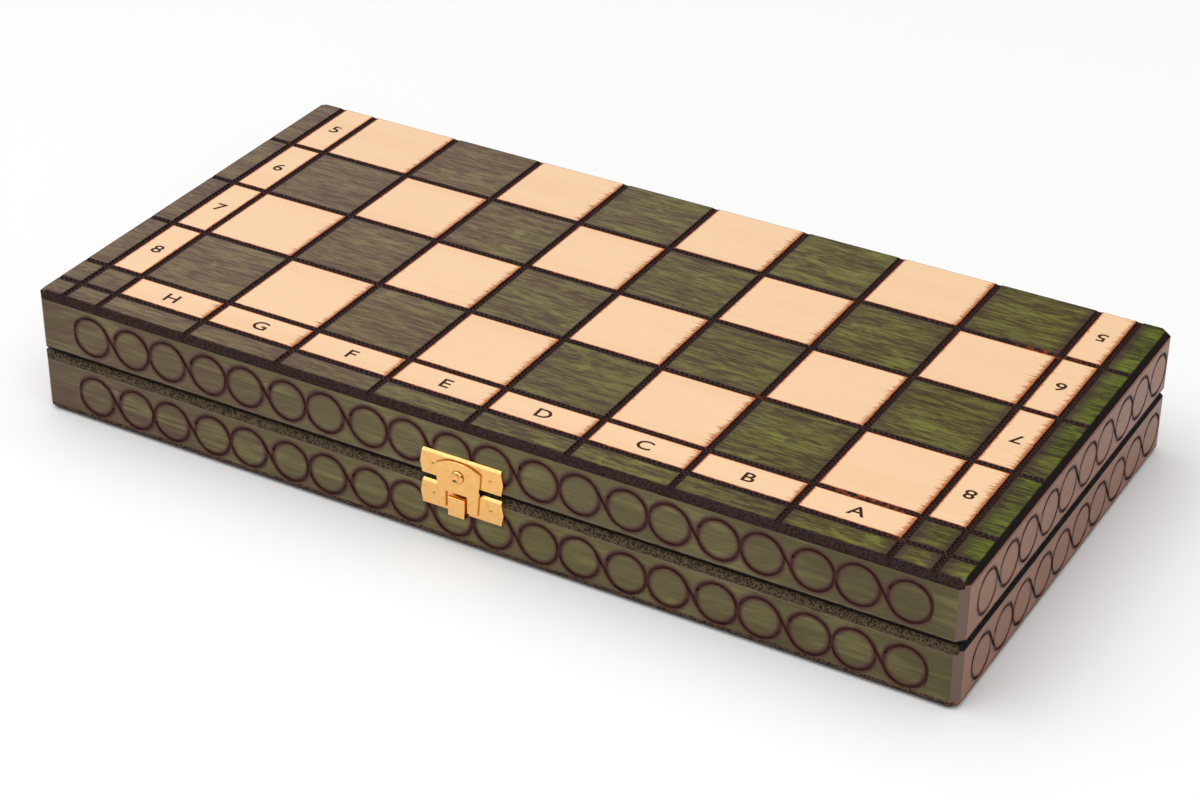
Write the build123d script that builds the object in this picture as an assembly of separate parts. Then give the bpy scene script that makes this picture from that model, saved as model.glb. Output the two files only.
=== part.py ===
from build123d import *
import os
from math import acos, cos, degrees, radians, sin, sqrt

# A wooden folding chess case: two shallow trays hinged along the back, whose outer faces are
# the two halves of the board. A brass clasp holds the front, and the thirty-two men lie inside.
# Millimetres. X runs along the case, Y from the clasp to the hinges, Z up.
# The origin is at the bottom centre of the closed case, clasp and hinge barrels included.

# Board
SQUARE_SIZE = 37.2
FILES = 8
RANKS_PER_HALF = 4
LABEL_STRIP = 14.8
OUTER_BORDER = 11.4

# Trays
TRAY_HEIGHT = 23.6
RIM_GAP = 0.4
RAIL_THICKNESS = 9.0
PANEL_THICKNESS = 3.0
CORNER_CHAMFER = 2.6
EDGE_CHAMFER = 1.8
RIM_CHAMFER = 1.4
LINING_THICKNESS = 1.0
LINING_CLEARANCE = 0.3

# Burnt grooves of the board
LINE_WIDTH = 2.6
LINE_FLOOR = 1.4
LINE_DEPTH = 0.6

# Burnt scrolls of the sides
SCROLL_RADIUS = 7.3
SCROLL_SPACING = 17.2
SCROLL_PITCH = 32.4
SCROLL_SHIFT = 2.8
SCROLL_DROP = 0.8
SCROLL_WIDTH = 1.2
SCROLL_DEPTH = 0.5
SCROLL_OPEN_ANGLE = 22.0
SCROLLS_ALONG_LENGTH = 10
SCROLLS_ALONG_WIDTH = 5
CUT_OVERRUN = 0.5

# Hinges
HINGE_SPREAD = 220.0
HINGE_LENGTH = 28.0
LEAF_DEPTH = 7.6
LEAF_THICKNESS = 0.9
KNUCKLE_RADIUS = 2.0
KNUCKLE_GAP = 0.3
KNUCKLE_CLEARANCE = 0.3
PIN_RADIUS = 0.8
PIN_FIT = 0.05
PIN_OVERHANG = 0.4
MORTISE_CLEARANCE = 0.1
HINGE_SCREW_SPREAD = 18.0
HINGE_SCREW_INSET = 4.8
SCREW_HEAD_RADIUS = 1.9
SCREW_SHANK_RADIUS = 0.9
SCREW_LENGTH = 8.0
SCREW_SLOT_WIDTH = 0.4
SCREW_SLOT_DEPTH = 0.3
FIXING_FIT = 0.05

# Clasp
CLASP_X = -0.8
PLATE_WIDTH = 29.8
PLATE_HEIGHT = 10.0
PLATE_THICKNESS = 1.0
PLATE_POINT = 0.9
PLATE_BEVEL = 0.8
PLATE_FROM_MIDDLE = 0.8
NAIL_SPREAD = 22.0
NAIL_FROM_MIDDLE = 5.7
NAIL_RADIUS = 0.5
NAIL_LENGTH = 6.5
NAIL_HEAD_RADIUS = 0.9
NAIL_HEAD_HEIGHT = 0.4
HASP_X = -1.8
HASP_THICKNESS = 0.8
HASP_GAP = 0.15
HASP_TOP_WIDTH = 17.2
HASP_FOOT_WIDTH = 14.4
HASP_SHOULDER = 7.2
HASP_CROWN = 9.7
HASP_FOOT = 8.8
HASP_BEVEL = 0.2
RIVET_HEIGHT = 4.1
RIVET_RADIUS = 1.4
RIVET_HEAD_RADIUS = 2.45
RIVET_HEAD_HEIGHT = 0.9
RIVET_CREST_RADIUS = 1.5
RIVET_DISH_DEPTH = 0.55
RIVET_DISH_FLOOR = 0.4
TONGUE_WIDTH = 6.2
TONGUE_SHEET = 0.6
TONGUE_PROUD = 3.0
TONGUE_TOP = 3.6
TONGUE_FLANGE_FOOT = 7.6
TONGUE_LIP_DEPTH = 1.4
NOTCH_TOP = 2.5
NOTCH_NEAR_GAP = 0.2
NOTCH_FAR_GAP = 1.6

# Chessmen and their lanes
LANES = 11
DIVIDER_THICKNESS = 2.4
DIVIDER_HEIGHT = 16.0
REST_GAP = 0.3
KING_HEIGHT = 66.0
QUEEN_HEIGHT = 60.0
BISHOP_HEIGHT = 52.0
KNIGHT_HEIGHT = 46.0
ROOK_HEIGHT = 42.0
PAWN_HEIGHT = 38.0
ROYAL_BASE_RADIUS = 12.5
OFFICER_BASE_RADIUS = 11.5
PAWN_BASE_RADIUS = 10.5
FOOT_THICKNESS = 3.0
COLLAR_THICKNESS = 1.6
COLLAR_PROUD = 1.6

# Sizes and places worked out from those above
CASE_LENGTH = FILES * SQUARE_SIZE + 2 * (LABEL_STRIP + OUTER_BORDER)
CASE_WIDTH = RANKS_PER_HALF * SQUARE_SIZE + LABEL_STRIP + OUTER_BORDER
CASE_HEIGHT = 2 * TRAY_HEIGHT + RIM_GAP
MIDDLE_Z = CASE_HEIGHT / 2
HINGE_OFFSET = RIM_GAP / 2
CASE_Y = (TONGUE_PROUD - HINGE_OFFSET - KNUCKLE_RADIUS) / 2
FRONT_Y = CASE_Y - CASE_WIDTH / 2
BACK_Y = CASE_Y + CASE_WIDTH / 2
HINGE_Y = BACK_Y + HINGE_OFFSET
INNER_LENGTH = CASE_LENGTH - 2 * RAIL_THICKNESS
INNER_WIDTH = CASE_WIDTH - 2 * RAIL_THICKNESS
LINING_TOP = PANEL_THICKNESS + LINING_THICKNESS
LOWER_SCROLL_Z = TRAY_HEIGHT / 2 - SCROLL_DROP
UPPER_SCROLL_Z = CASE_HEIGHT - TRAY_HEIGHT / 2 - SCROLL_DROP

ON_FLOOR = (Align.CENTER, Align.CENTER, Align.MIN)


def to_lid(shape):
    """The same shape in the upper tray, mirrored across the gap between the rims."""
    return mirror(shape, about=Plane.XY.offset(MIDDLE_Z))


def save(shape, node):
    export_step(shape, f"parts/{node}.step")


# Case


def case_block(height, floor_z):
    block = Pos(0, CASE_Y, floor_z) * Box(CASE_LENGTH, CASE_WIDTH, height, align=ON_FLOOR)
    return chamfer(block.edges().filter_by(Axis.Z), CORNER_CHAMFER)


def rail_ring():
    """The four rails of the lower tray before their mitres are cut, with the rim's bevel."""
    height = TRAY_HEIGHT - PANEL_THICKNESS
    ring = case_block(height, PANEL_THICKNESS)
    ring = chamfer(ring.edges().group_by(Axis.Z)[-1], RIM_CHAMFER)
    return ring - Pos(0, CASE_Y, PANEL_THICKNESS) * Box(INNER_LENGTH, INNER_WIDTH, height, align=ON_FLOOR)


def mitre_wedge(turn):
    """The prism that holds one rail: it widens from the inside of the case to the outside."""
    half_length = CASE_LENGTH / 2
    half_width = CASE_WIDTH / 2
    if turn % 180 == 90:
        half_length, half_width = half_width, half_length
    corners = [
        (-half_length, -half_width),
        (half_length, -half_width),
        (half_length - RAIL_THICKNESS, -half_width + RAIL_THICKNESS),
        (-half_length + RAIL_THICKNESS, -half_width + RAIL_THICKNESS),
    ]
    wedge = extrude(make_face(Polyline(*corners, close=True)), amount=TRAY_HEIGHT)
    return Pos(0, CASE_Y, 0) * Rot(Z=turn) * wedge


def side_plane(turn, height):
    """A plane on one side of the case, facing outward: 0 front, 90 right, 180 back, 270 left."""
    reach = CASE_WIDTH / 2 if turn % 180 == 0 else CASE_LENGTH / 2
    outward = (sin(radians(turn)), -cos(radians(turn)), 0)
    along = (cos(radians(turn)), sin(radians(turn)), 0)
    origin = (outward[0] * reach, CASE_Y + outward[1] * reach, height)
    return Plane(origin=origin, x_dir=along, z_dir=outward)


def scroll_face():
    """One double scroll: two open rings joined by the line that crosses between them."""
    half_width = SCROLL_WIDTH / 2
    half_spacing = SCROLL_SPACING / 2
    tangent_length = sqrt(SCROLL_SPACING**2 - 4 * SCROLL_RADIUS**2)
    tangent_angle = acos(2 * SCROLL_RADIUS / SCROLL_SPACING)
    open_angle = radians(SCROLL_OPEN_ANGLE)
    reach = SCROLL_RADIUS * 2
    opening = make_face(
        Polyline(
            (0, 0),
            (reach * cos(open_angle), -reach * sin(open_angle)),
            (reach * cos(tangent_angle), reach * sin(tangent_angle)),
            close=True,
        )
    )
    ring = Circle(SCROLL_RADIUS + half_width) - Circle(SCROLL_RADIUS - half_width) - opening
    tip = Pos(SCROLL_RADIUS * cos(open_angle), -SCROLL_RADIUS * sin(open_angle))
    half = Pos(-half_spacing, 0) * (ring + tip * Circle(half_width))
    crossing = Rot(Z=degrees(tangent_angle) - 90) * Rectangle(tangent_length, SCROLL_WIDTH)
    return half + Rot(Z=180) * half + crossing


def scroll_cutters(turn, height, count):
    """The groove solids of one side's chain of scrolls, which starts a little late."""
    face = scroll_face()
    plane = side_plane(turn, height).offset(CUT_OVERRUN)
    cutters = []
    for index in range(count):
        shift = (index - (count - 1) / 2) * SCROLL_PITCH + SCROLL_SHIFT
        cutters.append(extrude(plane * Pos(shift, 0) * face, amount=-(SCROLL_DEPTH + CUT_OVERRUN)))
    return cutters


def board_panel():
    """The underside half of the board, with its grooves, seen as the floor of the lower tray."""
    panel = case_block(PANEL_THICKNESS, 0)
    panel = chamfer(panel.edges().group_by(Axis.Z)[0], EDGE_CHAMFER)
    profile = make_face(
        Polyline(
            (-LINE_WIDTH / 2, 0),
            (LINE_WIDTH / 2, 0),
            (LINE_FLOOR / 2, LINE_DEPTH),
            (-LINE_FLOOR / 2, LINE_DEPTH),
            close=True,
        )
    )
    across = extrude(Plane.XZ * profile, amount=CASE_WIDTH, both=True)
    along = extrude(Plane.YZ * profile, amount=CASE_LENGTH, both=True)
    board_half = FILES * SQUARE_SIZE / 2
    line_xs = [-board_half - LABEL_STRIP, board_half + LABEL_STRIP]
    line_xs += [-board_half + file * SQUARE_SIZE for file in range(FILES + 1)]
    first_rank = FRONT_Y + OUTER_BORDER + LABEL_STRIP
    line_ys = [FRONT_Y + OUTER_BORDER]
    line_ys += [first_rank + rank * SQUARE_SIZE for rank in range(RANKS_PER_HALF)]
    for x in line_xs:
        panel -= Pos(x, CASE_Y, 0) * across
    for y in line_ys:
        panel -= Pos(0, y, 0) * along
    return panel


def lining():
    sheet = Box(
        INNER_LENGTH - 2 * LINING_CLEARANCE,
        INNER_WIDTH - 2 * LINING_CLEARANCE,
        LINING_THICKNESS,
        align=ON_FLOOR,
    )
    return Pos(0, CASE_Y, PANEL_THICKNESS) * sheet


# Hinges


def knuckle_length():
    return (HINGE_LENGTH - 2 * KNUCKLE_GAP) / 3


def barrel(radius, length, x):
    return Pos(x, HINGE_Y, MIDDLE_Z) * Rot(Y=90) * Cylinder(radius, length)


def hinge_centres():
    return [-HINGE_SPREAD / 2, HINGE_SPREAD / 2]


def hinge_screw_places():
    """Where the screws of both lower leaves stand, on the face of the leaf."""
    y = BACK_Y - HINGE_SCREW_INSET
    places = []
    for centre in hinge_centres():
        for side in (-1, 1):
            places.append(Pos(centre + side * HINGE_SCREW_SPREAD / 2, y, TRAY_HEIGHT))
    return places


def screw_shape(play):
    """A countersunk screw below its own flat face; play widens it into its hole."""
    head = Cone(
        SCREW_SHANK_RADIUS + play,
        SCREW_HEAD_RADIUS + play,
        LEAF_THICKNESS,
        align=(Align.CENTER, Align.CENTER, Align.MAX),
    )
    shank = Cylinder(
        SCREW_SHANK_RADIUS + play,
        SCREW_LENGTH + play,
        align=(Align.CENTER, Align.CENTER, Align.MAX),
    )
    return head + shank


def hinge_screw():
    slot = Box(2 * SCREW_HEAD_RADIUS, SCREW_SLOT_WIDTH, 2 * SCREW_SLOT_DEPTH)
    return screw_shape(0) - slot


def leaf(centre, own_knuckles, other_knuckles):
    """One hinge leaf, let into the lower rim, with its share of the knuckles."""
    depth = LEAF_DEPTH + HINGE_OFFSET
    plate = Pos(centre, HINGE_Y - depth / 2, TRAY_HEIGHT - LEAF_THICKNESS / 2) * Box(
        HINGE_LENGTH, depth, LEAF_THICKNESS
    )
    pitch = knuckle_length() + KNUCKLE_GAP
    for index in other_knuckles:
        room = knuckle_length() + 2 * KNUCKLE_GAP
        plate -= barrel(KNUCKLE_RADIUS + KNUCKLE_CLEARANCE, room, centre + index * pitch)
    for index in own_knuckles:
        plate += barrel(KNUCKLE_RADIUS, knuckle_length(), centre + index * pitch)
    plate -= barrel(PIN_RADIUS + PIN_FIT, 2 * HINGE_LENGTH, centre)
    for place in hinge_screw_places():
        plate -= place * screw_shape(FIXING_FIT)
    return plate


def hinge_room():
    """What both hinges take out of the lower back rail: mortises, knuckle troughs, screw holes."""
    cuts = []
    for centre in hinge_centres():
        depth = LEAF_DEPTH + MORTISE_CLEARANCE
        thickness = LEAF_THICKNESS + MORTISE_CLEARANCE
        cuts.append(
            Pos(centre, BACK_Y - depth / 2, TRAY_HEIGHT - thickness / 2)
            * Box(HINGE_LENGTH + 2 * MORTISE_CLEARANCE, depth, thickness)
        )
        cuts.append(
            barrel(KNUCKLE_RADIUS + KNUCKLE_CLEARANCE, HINGE_LENGTH + 2 * KNUCKLE_GAP, centre)
        )
    for place in hinge_screw_places():
        cuts.append(place * screw_shape(FIXING_FIT))
    return cuts


# Clasp


def proud(x, distance, height):
    """A place on the front of the case, that far in front of the wood and above the gap."""
    return Pos(x, FRONT_Y - distance, MIDDLE_Z + height)


def clasp_nail_places(side):
    """side is 1 for the upper plate and -1 for the lower one."""
    height = side * NAIL_FROM_MIDDLE
    return [proud(CLASP_X + end * NAIL_SPREAD / 2, 0, height) for end in (-1, 1)]


def nail_hole(depth):
    return Rot(X=90) * Cylinder(NAIL_RADIUS + FIXING_FIT, 2 * depth)


def clasp_nail():
    """A round nail: its shank runs into the wood, and its domed head sits on the plate."""
    shank_length = NAIL_LENGTH + PLATE_THICKNESS
    shank = Pos(0, NAIL_LENGTH - shank_length / 2, 0) * Rot(X=90) * Cylinder(NAIL_RADIUS, shank_length)
    dome_radius = (NAIL_HEAD_RADIUS**2 + NAIL_HEAD_HEIGHT**2) / (2 * NAIL_HEAD_HEIGHT)
    dome = Pos(0, dome_radius - NAIL_HEAD_HEIGHT - PLATE_THICKNESS, 0) * Sphere(dome_radius)
    front = Pos(0, -PLATE_THICKNESS, 0) * Box(
        4 * dome_radius, 2 * dome_radius, 4 * dome_radius, align=(Align.CENTER, Align.MAX, Align.CENTER)
    )
    return shank + (dome & front)


def plate_blank(side):
    """A flat clasp plate with pointed ends and bevelled long edges."""
    half = PLATE_WIDTH / 2
    centre = side * (PLATE_FROM_MIDDLE + PLATE_HEIGHT / 2)
    outline = make_face(
        Polyline(
            (-half, -PLATE_HEIGHT / 2),
            (half, -PLATE_HEIGHT / 2),
            (half + PLATE_POINT, 0),
            (half, PLATE_HEIGHT / 2),
            (-half, PLATE_HEIGHT / 2),
            (-half - PLATE_POINT, 0),
            close=True,
        )
    )
    plate = proud(CLASP_X, 0, centre) * extrude(Plane.XZ * outline, amount=PLATE_THICKNESS)
    front_edges = plate.edges().group_by(Axis.Y)[0].filter_by(Axis.X)
    plate = chamfer(front_edges, PLATE_BEVEL)
    for place in clasp_nail_places(side):
        plate -= place * nail_hole(PLATE_THICKNESS)
    return plate


def rivet_bore():
    return Rot(X=90) * Cylinder(RIVET_RADIUS + PIN_FIT, 2 * TONGUE_PROUD)


def upper_plate():
    return plate_blank(1) - proud(HASP_X, 0, RIVET_HEIGHT) * rivet_bore()


def tongue():
    """The catch folded out of the lower plate: foot, front sheet, lip and right-hand flange."""
    foot_z = -(PLATE_FROM_MIDDLE + PLATE_HEIGHT)
    rise = -TONGUE_TOP - foot_z
    inner = (PLATE_THICKNESS - PLATE_BEVEL) / 2
    foot = proud(HASP_X, inner, foot_z) * Box(
        TONGUE_WIDTH, TONGUE_PROUD - inner, TONGUE_SHEET, align=(Align.CENTER, Align.MAX, Align.MIN)
    )
    sheet = proud(HASP_X, TONGUE_PROUD, foot_z) * Box(
        TONGUE_WIDTH, TONGUE_SHEET, rise, align=(Align.CENTER, Align.MIN, Align.MIN)
    )
    lip = proud(HASP_X, TONGUE_PROUD, -TONGUE_TOP) * Box(
        TONGUE_WIDTH, TONGUE_LIP_DEPTH, TONGUE_SHEET, align=(Align.CENTER, Align.MIN, Align.MAX)
    )
    flange = proud(HASP_X + TONGUE_WIDTH / 2, TONGUE_PROUD, -TONGUE_TOP) * Box(
        TONGUE_SHEET,
        TONGUE_LIP_DEPTH,
        TONGUE_FLANGE_FOOT - TONGUE_TOP,
        align=(Align.MAX, Align.MIN, Align.MAX),
    )
    folded = foot + sheet + lip + flange
    bends = folded.edges().filter_by(Axis.X).group_by(Axis.Y)[0]
    return fillet(bends, TONGUE_SHEET / 2)


def lower_plate():
    return plate_blank(-1) + tongue()


def rivet():
    """The pivot of the hasp: its shank fills the plate, and its round head is dished in front."""
    head_back = PLATE_THICKNESS + 2 * HASP_GAP + HASP_THICKNESS
    crest_height = head_back + RIVET_HEAD_HEIGHT
    dish_height = crest_height - RIVET_DISH_DEPTH
    shoulder = ((RIVET_HEAD_RADIUS * 2 + RIVET_CREST_RADIUS) / 3, head_back + RIVET_HEAD_HEIGHT * 0.7)
    dish_side = ((RIVET_CREST_RADIUS + RIVET_DISH_FLOOR) / 2, dish_height + RIVET_DISH_DEPTH / 3)
    sides = Polyline(
        (RIVET_DISH_FLOOR, dish_height),
        (0, dish_height),
        (0, 0),
        (RIVET_RADIUS, 0),
        (RIVET_RADIUS, head_back),
        (RIVET_HEAD_RADIUS, head_back),
    )
    crest = (RIVET_CREST_RADIUS, crest_height)
    dome = ThreePointArc((RIVET_HEAD_RADIUS, head_back), shoulder, crest)
    dish = ThreePointArc(crest, dish_side, (RIVET_DISH_FLOOR, dish_height))
    turned = revolve(Plane.XZ * make_face([sides, dome, dish]), Axis.Z)
    return proud(HASP_X, 0, RIVET_HEIGHT) * Rot(X=90) * turned


def hasp():
    """The swinging plate: a trapezium with an arched top and a notch that straddles the tongue."""
    half_top = HASP_TOP_WIDTH / 2
    half_foot = HASP_FOOT_WIDTH / 2
    near = TONGUE_WIDTH / 2 + NOTCH_NEAR_GAP
    far = TONGUE_WIDTH / 2 + NOTCH_FAR_GAP
    arch = ThreePointArc((half_top, HASP_SHOULDER), (0, HASP_CROWN), (-half_top, HASP_SHOULDER))
    sides = Polyline(
        (-half_top, HASP_SHOULDER),
        (-half_foot, -HASP_FOOT),
        (-far, -HASP_FOOT),
        (-far, -NOTCH_TOP),
        (near, -NOTCH_TOP),
        (near, -HASP_FOOT),
        (half_foot, -HASP_FOOT),
        (half_top, HASP_SHOULDER),
    )
    sheet = extrude(Plane.XZ * make_face([arch, sides]), amount=HASP_THICKNESS)
    sheet = chamfer(sheet.edges().group_by(Axis.Y)[0], HASP_BEVEL)
    sheet = proud(HASP_X, PLATE_THICKNESS + HASP_GAP, 0) * sheet
    return sheet - proud(HASP_X, 0, RIVET_HEIGHT) * rivet_bore()


# Lanes and chessmen


def lane_pitch():
    return (INNER_LENGTH + DIVIDER_THICKNESS) / LANES


def lane_x(index):
    return (index - (LANES - 1) / 2) * lane_pitch()


def dividers():
    """Thin slats between the lanes, standing on the lining between the front and back rails."""
    slats = []
    for index in range(LANES - 1):
        x = (lane_x(index) + lane_x(index + 1)) / 2
        slat = Box(DIVIDER_THICKNESS, INNER_WIDTH - 2 * LINING_CLEARANCE, DIVIDER_HEIGHT, align=ON_FLOOR)
        slats.append(Pos(x, CASE_Y, LINING_TOP) * slat)
    return Compound(children=slats)


def turned_stem(base_radius, neck_radius, shoulder):
    """The turned foot and flared stem shared by every man, with a collar at its shoulder."""
    collar = neck_radius + COLLAR_PROUD
    top = shoulder + COLLAR_THICKNESS
    step_radius = (base_radius + neck_radius) / 2
    waist = ((step_radius + neck_radius) / 2 - COLLAR_PROUD / 2, (FOOT_THICKNESS + shoulder) / 2)
    flare = ThreePointArc((step_radius, FOOT_THICKNESS * 2), waist, (neck_radius, shoulder))
    lower = Polyline(
        (0, top), (0, 0), (base_radius, 0), (base_radius, FOOT_THICKNESS), (step_radius, FOOT_THICKNESS * 2)
    )
    upper = Polyline((neck_radius, shoulder), (collar, shoulder), (collar, top), (0, top))
    return revolve(Plane.XZ * make_face([lower, flare, upper]), Axis.Z)


def pawn():
    head = PAWN_BASE_RADIUS * 0.52
    shoulder = PAWN_HEIGHT - 2 * head - COLLAR_THICKNESS / 2
    return turned_stem(PAWN_BASE_RADIUS, head * 0.6, shoulder) + Pos(0, 0, PAWN_HEIGHT - head) * Sphere(head)


def crown(bottom_radius, top_radius, bottom, height):
    return Pos(0, 0, bottom) * Cone(bottom_radius, top_radius, height, align=ON_FLOOR)


def rook():
    tower = OFFICER_BASE_RADIUS * 0.66
    tower_height = ROOK_HEIGHT * 0.28
    floor = ROOK_HEIGHT - tower_height
    stem = turned_stem(OFFICER_BASE_RADIUS, tower * 0.72, floor - COLLAR_THICKNESS)
    head = crown(tower * 0.85, tower, floor, tower_height)
    well = Pos(0, 0, ROOK_HEIGHT) * Cylinder(tower * 0.62, tower_height)
    gap = Pos(0, 0, ROOK_HEIGHT) * Box(3 * tower, tower * 0.4, tower_height * 0.6)
    return stem + (head - well - gap - Rot(Z=90) * gap)


def bishop():
    head = OFFICER_BASE_RADIUS * 0.5
    ball = head * 0.3
    floor = BISHOP_HEIGHT - 3 * head
    stem = turned_stem(OFFICER_BASE_RADIUS, head * 0.7, floor - COLLAR_THICKNESS)
    tip = BISHOP_HEIGHT - ball
    outline = [Polyline((0, tip), (0, floor), (head * 0.7, floor))]
    outline.append(ThreePointArc((head * 0.7, floor), (head, floor + head * 0.9), (0, tip)))
    mitre = revolve(Plane.XZ * make_face(outline), Axis.Z)
    cut = Pos(head * 0.6, 0, floor + head * 1.7) * Rot(Y=35) * Box(head * 1.4, 2 * head, head * 0.22)
    return stem + (mitre - cut) + Pos(0, 0, BISHOP_HEIGHT - ball) * Sphere(ball)


def knight():
    """A turned foot that carries a flat-sided carved horse's head."""
    base = OFFICER_BASE_RADIUS
    shoulder = KNIGHT_HEIGHT * 0.3
    rise = KNIGHT_HEIGHT - shoulder
    muzzle = base * 0.86
    outline = [
        Polyline((-base * 0.5, 0), (base * 0.5, 0)),
        ThreePointArc((base * 0.5, 0), (base * 0.12, rise * 0.28), (base * 0.35, rise * 0.5)),
        Polyline(
            (base * 0.35, rise * 0.5),
            (muzzle, rise * 0.42),
            (muzzle, rise * 0.62),
            (base * 0.2, rise * 0.92),
            (0, rise),
            (-base * 0.15, rise * 0.9),
        ),
        ThreePointArc((-base * 0.15, rise * 0.9), (-base * 0.62, rise * 0.5), (-base * 0.5, 0)),
    ]
    head = extrude(Plane.XZ * make_face(outline), amount=base * 0.36, both=True)
    head = Pos(0, 0, shoulder) * chamfer(head.edges().filter_by(Axis.Y, reverse=True), base * 0.1)
    return turned_stem(base, base * 0.5, shoulder - COLLAR_THICKNESS / 2) + head


def queen():
    ball = ROYAL_BASE_RADIUS * 0.2
    head_height = QUEEN_HEIGHT * 0.2
    floor = QUEEN_HEIGHT - head_height - 1.5 * ball
    radius = ROYAL_BASE_RADIUS * 0.36
    stem = turned_stem(ROYAL_BASE_RADIUS, radius, floor - COLLAR_THICKNESS)
    head = crown(radius, radius * 1.7, floor, head_height)
    return stem + head + Pos(0, 0, QUEEN_HEIGHT - ball) * Sphere(ball)


def king():
    cross = KING_HEIGHT * 0.12
    bar = cross / 4
    head_height = KING_HEIGHT * 0.19
    floor = KING_HEIGHT - head_height - cross
    radius = ROYAL_BASE_RADIUS * 0.38
    stem = turned_stem(ROYAL_BASE_RADIUS, radius, floor - COLLAR_THICKNESS)
    head = crown(radius, radius * 1.6, floor, head_height)
    post = Pos(0, 0, floor + head_height - bar) * Box(bar, bar, cross + bar, align=ON_FLOOR)
    arm = Pos(0, 0, KING_HEIGHT - cross * 0.45) * Box(cross * 0.8, bar, bar)
    return stem + head + post + arm


def lane_of_men(lane, men):
    """Lay men head to foot along one lane, evenly spread, each just clear of the lining."""
    spare = INNER_WIDTH - sum(height for _, _, height, _ in men)
    gap = spare / (len(men) + 1)
    y = CASE_Y - INNER_WIDTH / 2 + gap
    for node, shape, height, base_radius in men:
        place = Pos(lane_x(lane), y, LINING_TOP + REST_GAP + base_radius)
        save(place * Rot(X=-90) * shape, node)
        y += height + gap


def save_men():
    """Each colour fills five lanes from its own end; the last two pawns share the middle one."""
    shapes = {
        "king": (king(), KING_HEIGHT, ROYAL_BASE_RADIUS),
        "queen": (queen(), QUEEN_HEIGHT, ROYAL_BASE_RADIUS),
        "bishop": (bishop(), BISHOP_HEIGHT, OFFICER_BASE_RADIUS),
        "knight": (knight(), KNIGHT_HEIGHT, OFFICER_BASE_RADIUS),
        "rook": (rook(), ROOK_HEIGHT, OFFICER_BASE_RADIUS),
        "pawn": (pawn(), PAWN_HEIGHT, PAWN_BASE_RADIUS),
    }

    def man(colour, name):
        kind = name.split("_")[0]
        return (f"{colour}_{name}",) + shapes[kind]

    lanes = [
        ["king", "pawn_1", "pawn_2"],
        ["queen", "pawn_3", "pawn_4"],
        ["bishop_1", "knight_1", "rook_1"],
        ["bishop_2", "knight_2", "rook_2"],
        ["pawn_5", "pawn_6", "pawn_7"],
    ]
    for index, names in enumerate(lanes):
        lane_of_men(index, [man("light", name) for name in names])
        lane_of_men(LANES - 1 - index, [man("dark", name) for name in names])
    lane_of_men(LANES // 2, [man("light", "pawn_8"), man("dark", "pawn_8")])


# Build


def save_rails():
    ring = rail_ring()
    sides = [("front", 0), ("right", 90), ("back", 180), ("left", 270)]
    for name, turn in sides:
        count = SCROLLS_ALONG_LENGTH if turn % 180 == 0 else SCROLLS_ALONG_WIDTH
        rail = ring & mitre_wedge(turn)
        if name == "back":
            rail = rail - hinge_room()
        lower, upper = rail, to_lid(rail)
        if name == "front":
            lower = lower - [place * nail_hole(NAIL_LENGTH) for place in clasp_nail_places(-1)]
            upper = upper - [place * nail_hole(NAIL_LENGTH) for place in clasp_nail_places(1)]
        save(lower - scroll_cutters(turn, LOWER_SCROLL_Z, count), f"lower_{name}_rail")
        save(upper - scroll_cutters(turn, UPPER_SCROLL_Z, count), f"upper_{name}_rail")


def save_panels():
    panel = board_panel()
    sheet = lining()
    save(panel, "lower_board_panel")
    save(to_lid(panel), "upper_board_panel")
    save(sheet, "lower_lining")
    save(to_lid(sheet), "upper_lining")
    save(dividers(), "lane_dividers")


def save_hinges():
    lower = [leaf(centre, (-1, 1), (0,)) for centre in hinge_centres()]
    upper = [to_lid(leaf(centre, (0,), (-1, 1))) for centre in hinge_centres()]
    pins = [barrel(PIN_RADIUS, HINGE_LENGTH + 2 * PIN_OVERHANG, centre) for centre in hinge_centres()]
    screws = [place * hinge_screw() for place in hinge_screw_places()]
    save(Compound(children=lower), "hinge_lower_leaves")
    save(Compound(children=upper), "hinge_upper_leaves")
    save(Compound(children=pins), "hinge_pins")
    save(Compound(children=screws), "hinge_lower_screws")
    save(Compound(children=[to_lid(screw) for screw in screws]), "hinge_upper_screws")


def save_clasp():
    save(upper_plate(), "clasp_upper_plate")
    save(lower_plate(), "clasp_lower_plate")
    save(rivet(), "clasp_rivet")
    save(hasp(), "clasp_hasp")
    for side, name in ((1, "upper"), (-1, "lower")):
        nails = [place * clasp_nail() for place in clasp_nail_places(side)]
        save(Compound(children=nails), f"clasp_{name}_nails")


os.makedirs("parts", exist_ok=True)
save_rails()
save_panels()
save_hinges()
save_clasp()
save_men()
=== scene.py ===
import math

import bpy
from mathutils import Matrix, Vector


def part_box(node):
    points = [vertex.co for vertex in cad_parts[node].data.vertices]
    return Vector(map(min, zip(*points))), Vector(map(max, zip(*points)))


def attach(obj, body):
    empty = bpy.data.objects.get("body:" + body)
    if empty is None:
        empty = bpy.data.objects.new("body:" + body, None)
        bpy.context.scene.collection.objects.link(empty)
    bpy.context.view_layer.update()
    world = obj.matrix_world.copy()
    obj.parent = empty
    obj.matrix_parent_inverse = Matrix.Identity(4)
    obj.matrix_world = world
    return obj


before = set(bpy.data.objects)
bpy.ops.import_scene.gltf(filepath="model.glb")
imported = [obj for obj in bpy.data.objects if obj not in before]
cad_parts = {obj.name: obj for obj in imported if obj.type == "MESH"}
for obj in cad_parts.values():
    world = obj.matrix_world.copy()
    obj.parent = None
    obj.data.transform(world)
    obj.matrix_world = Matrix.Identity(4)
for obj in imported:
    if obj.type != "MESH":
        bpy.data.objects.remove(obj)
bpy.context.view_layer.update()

# The finish of a folding chess case: burnt and stained board, carved rails, brass, felt and men.
# Metres, in the frame of the solids: X along the case, Y from clasp to hinges, Z up.

MM = 0.001

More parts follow.
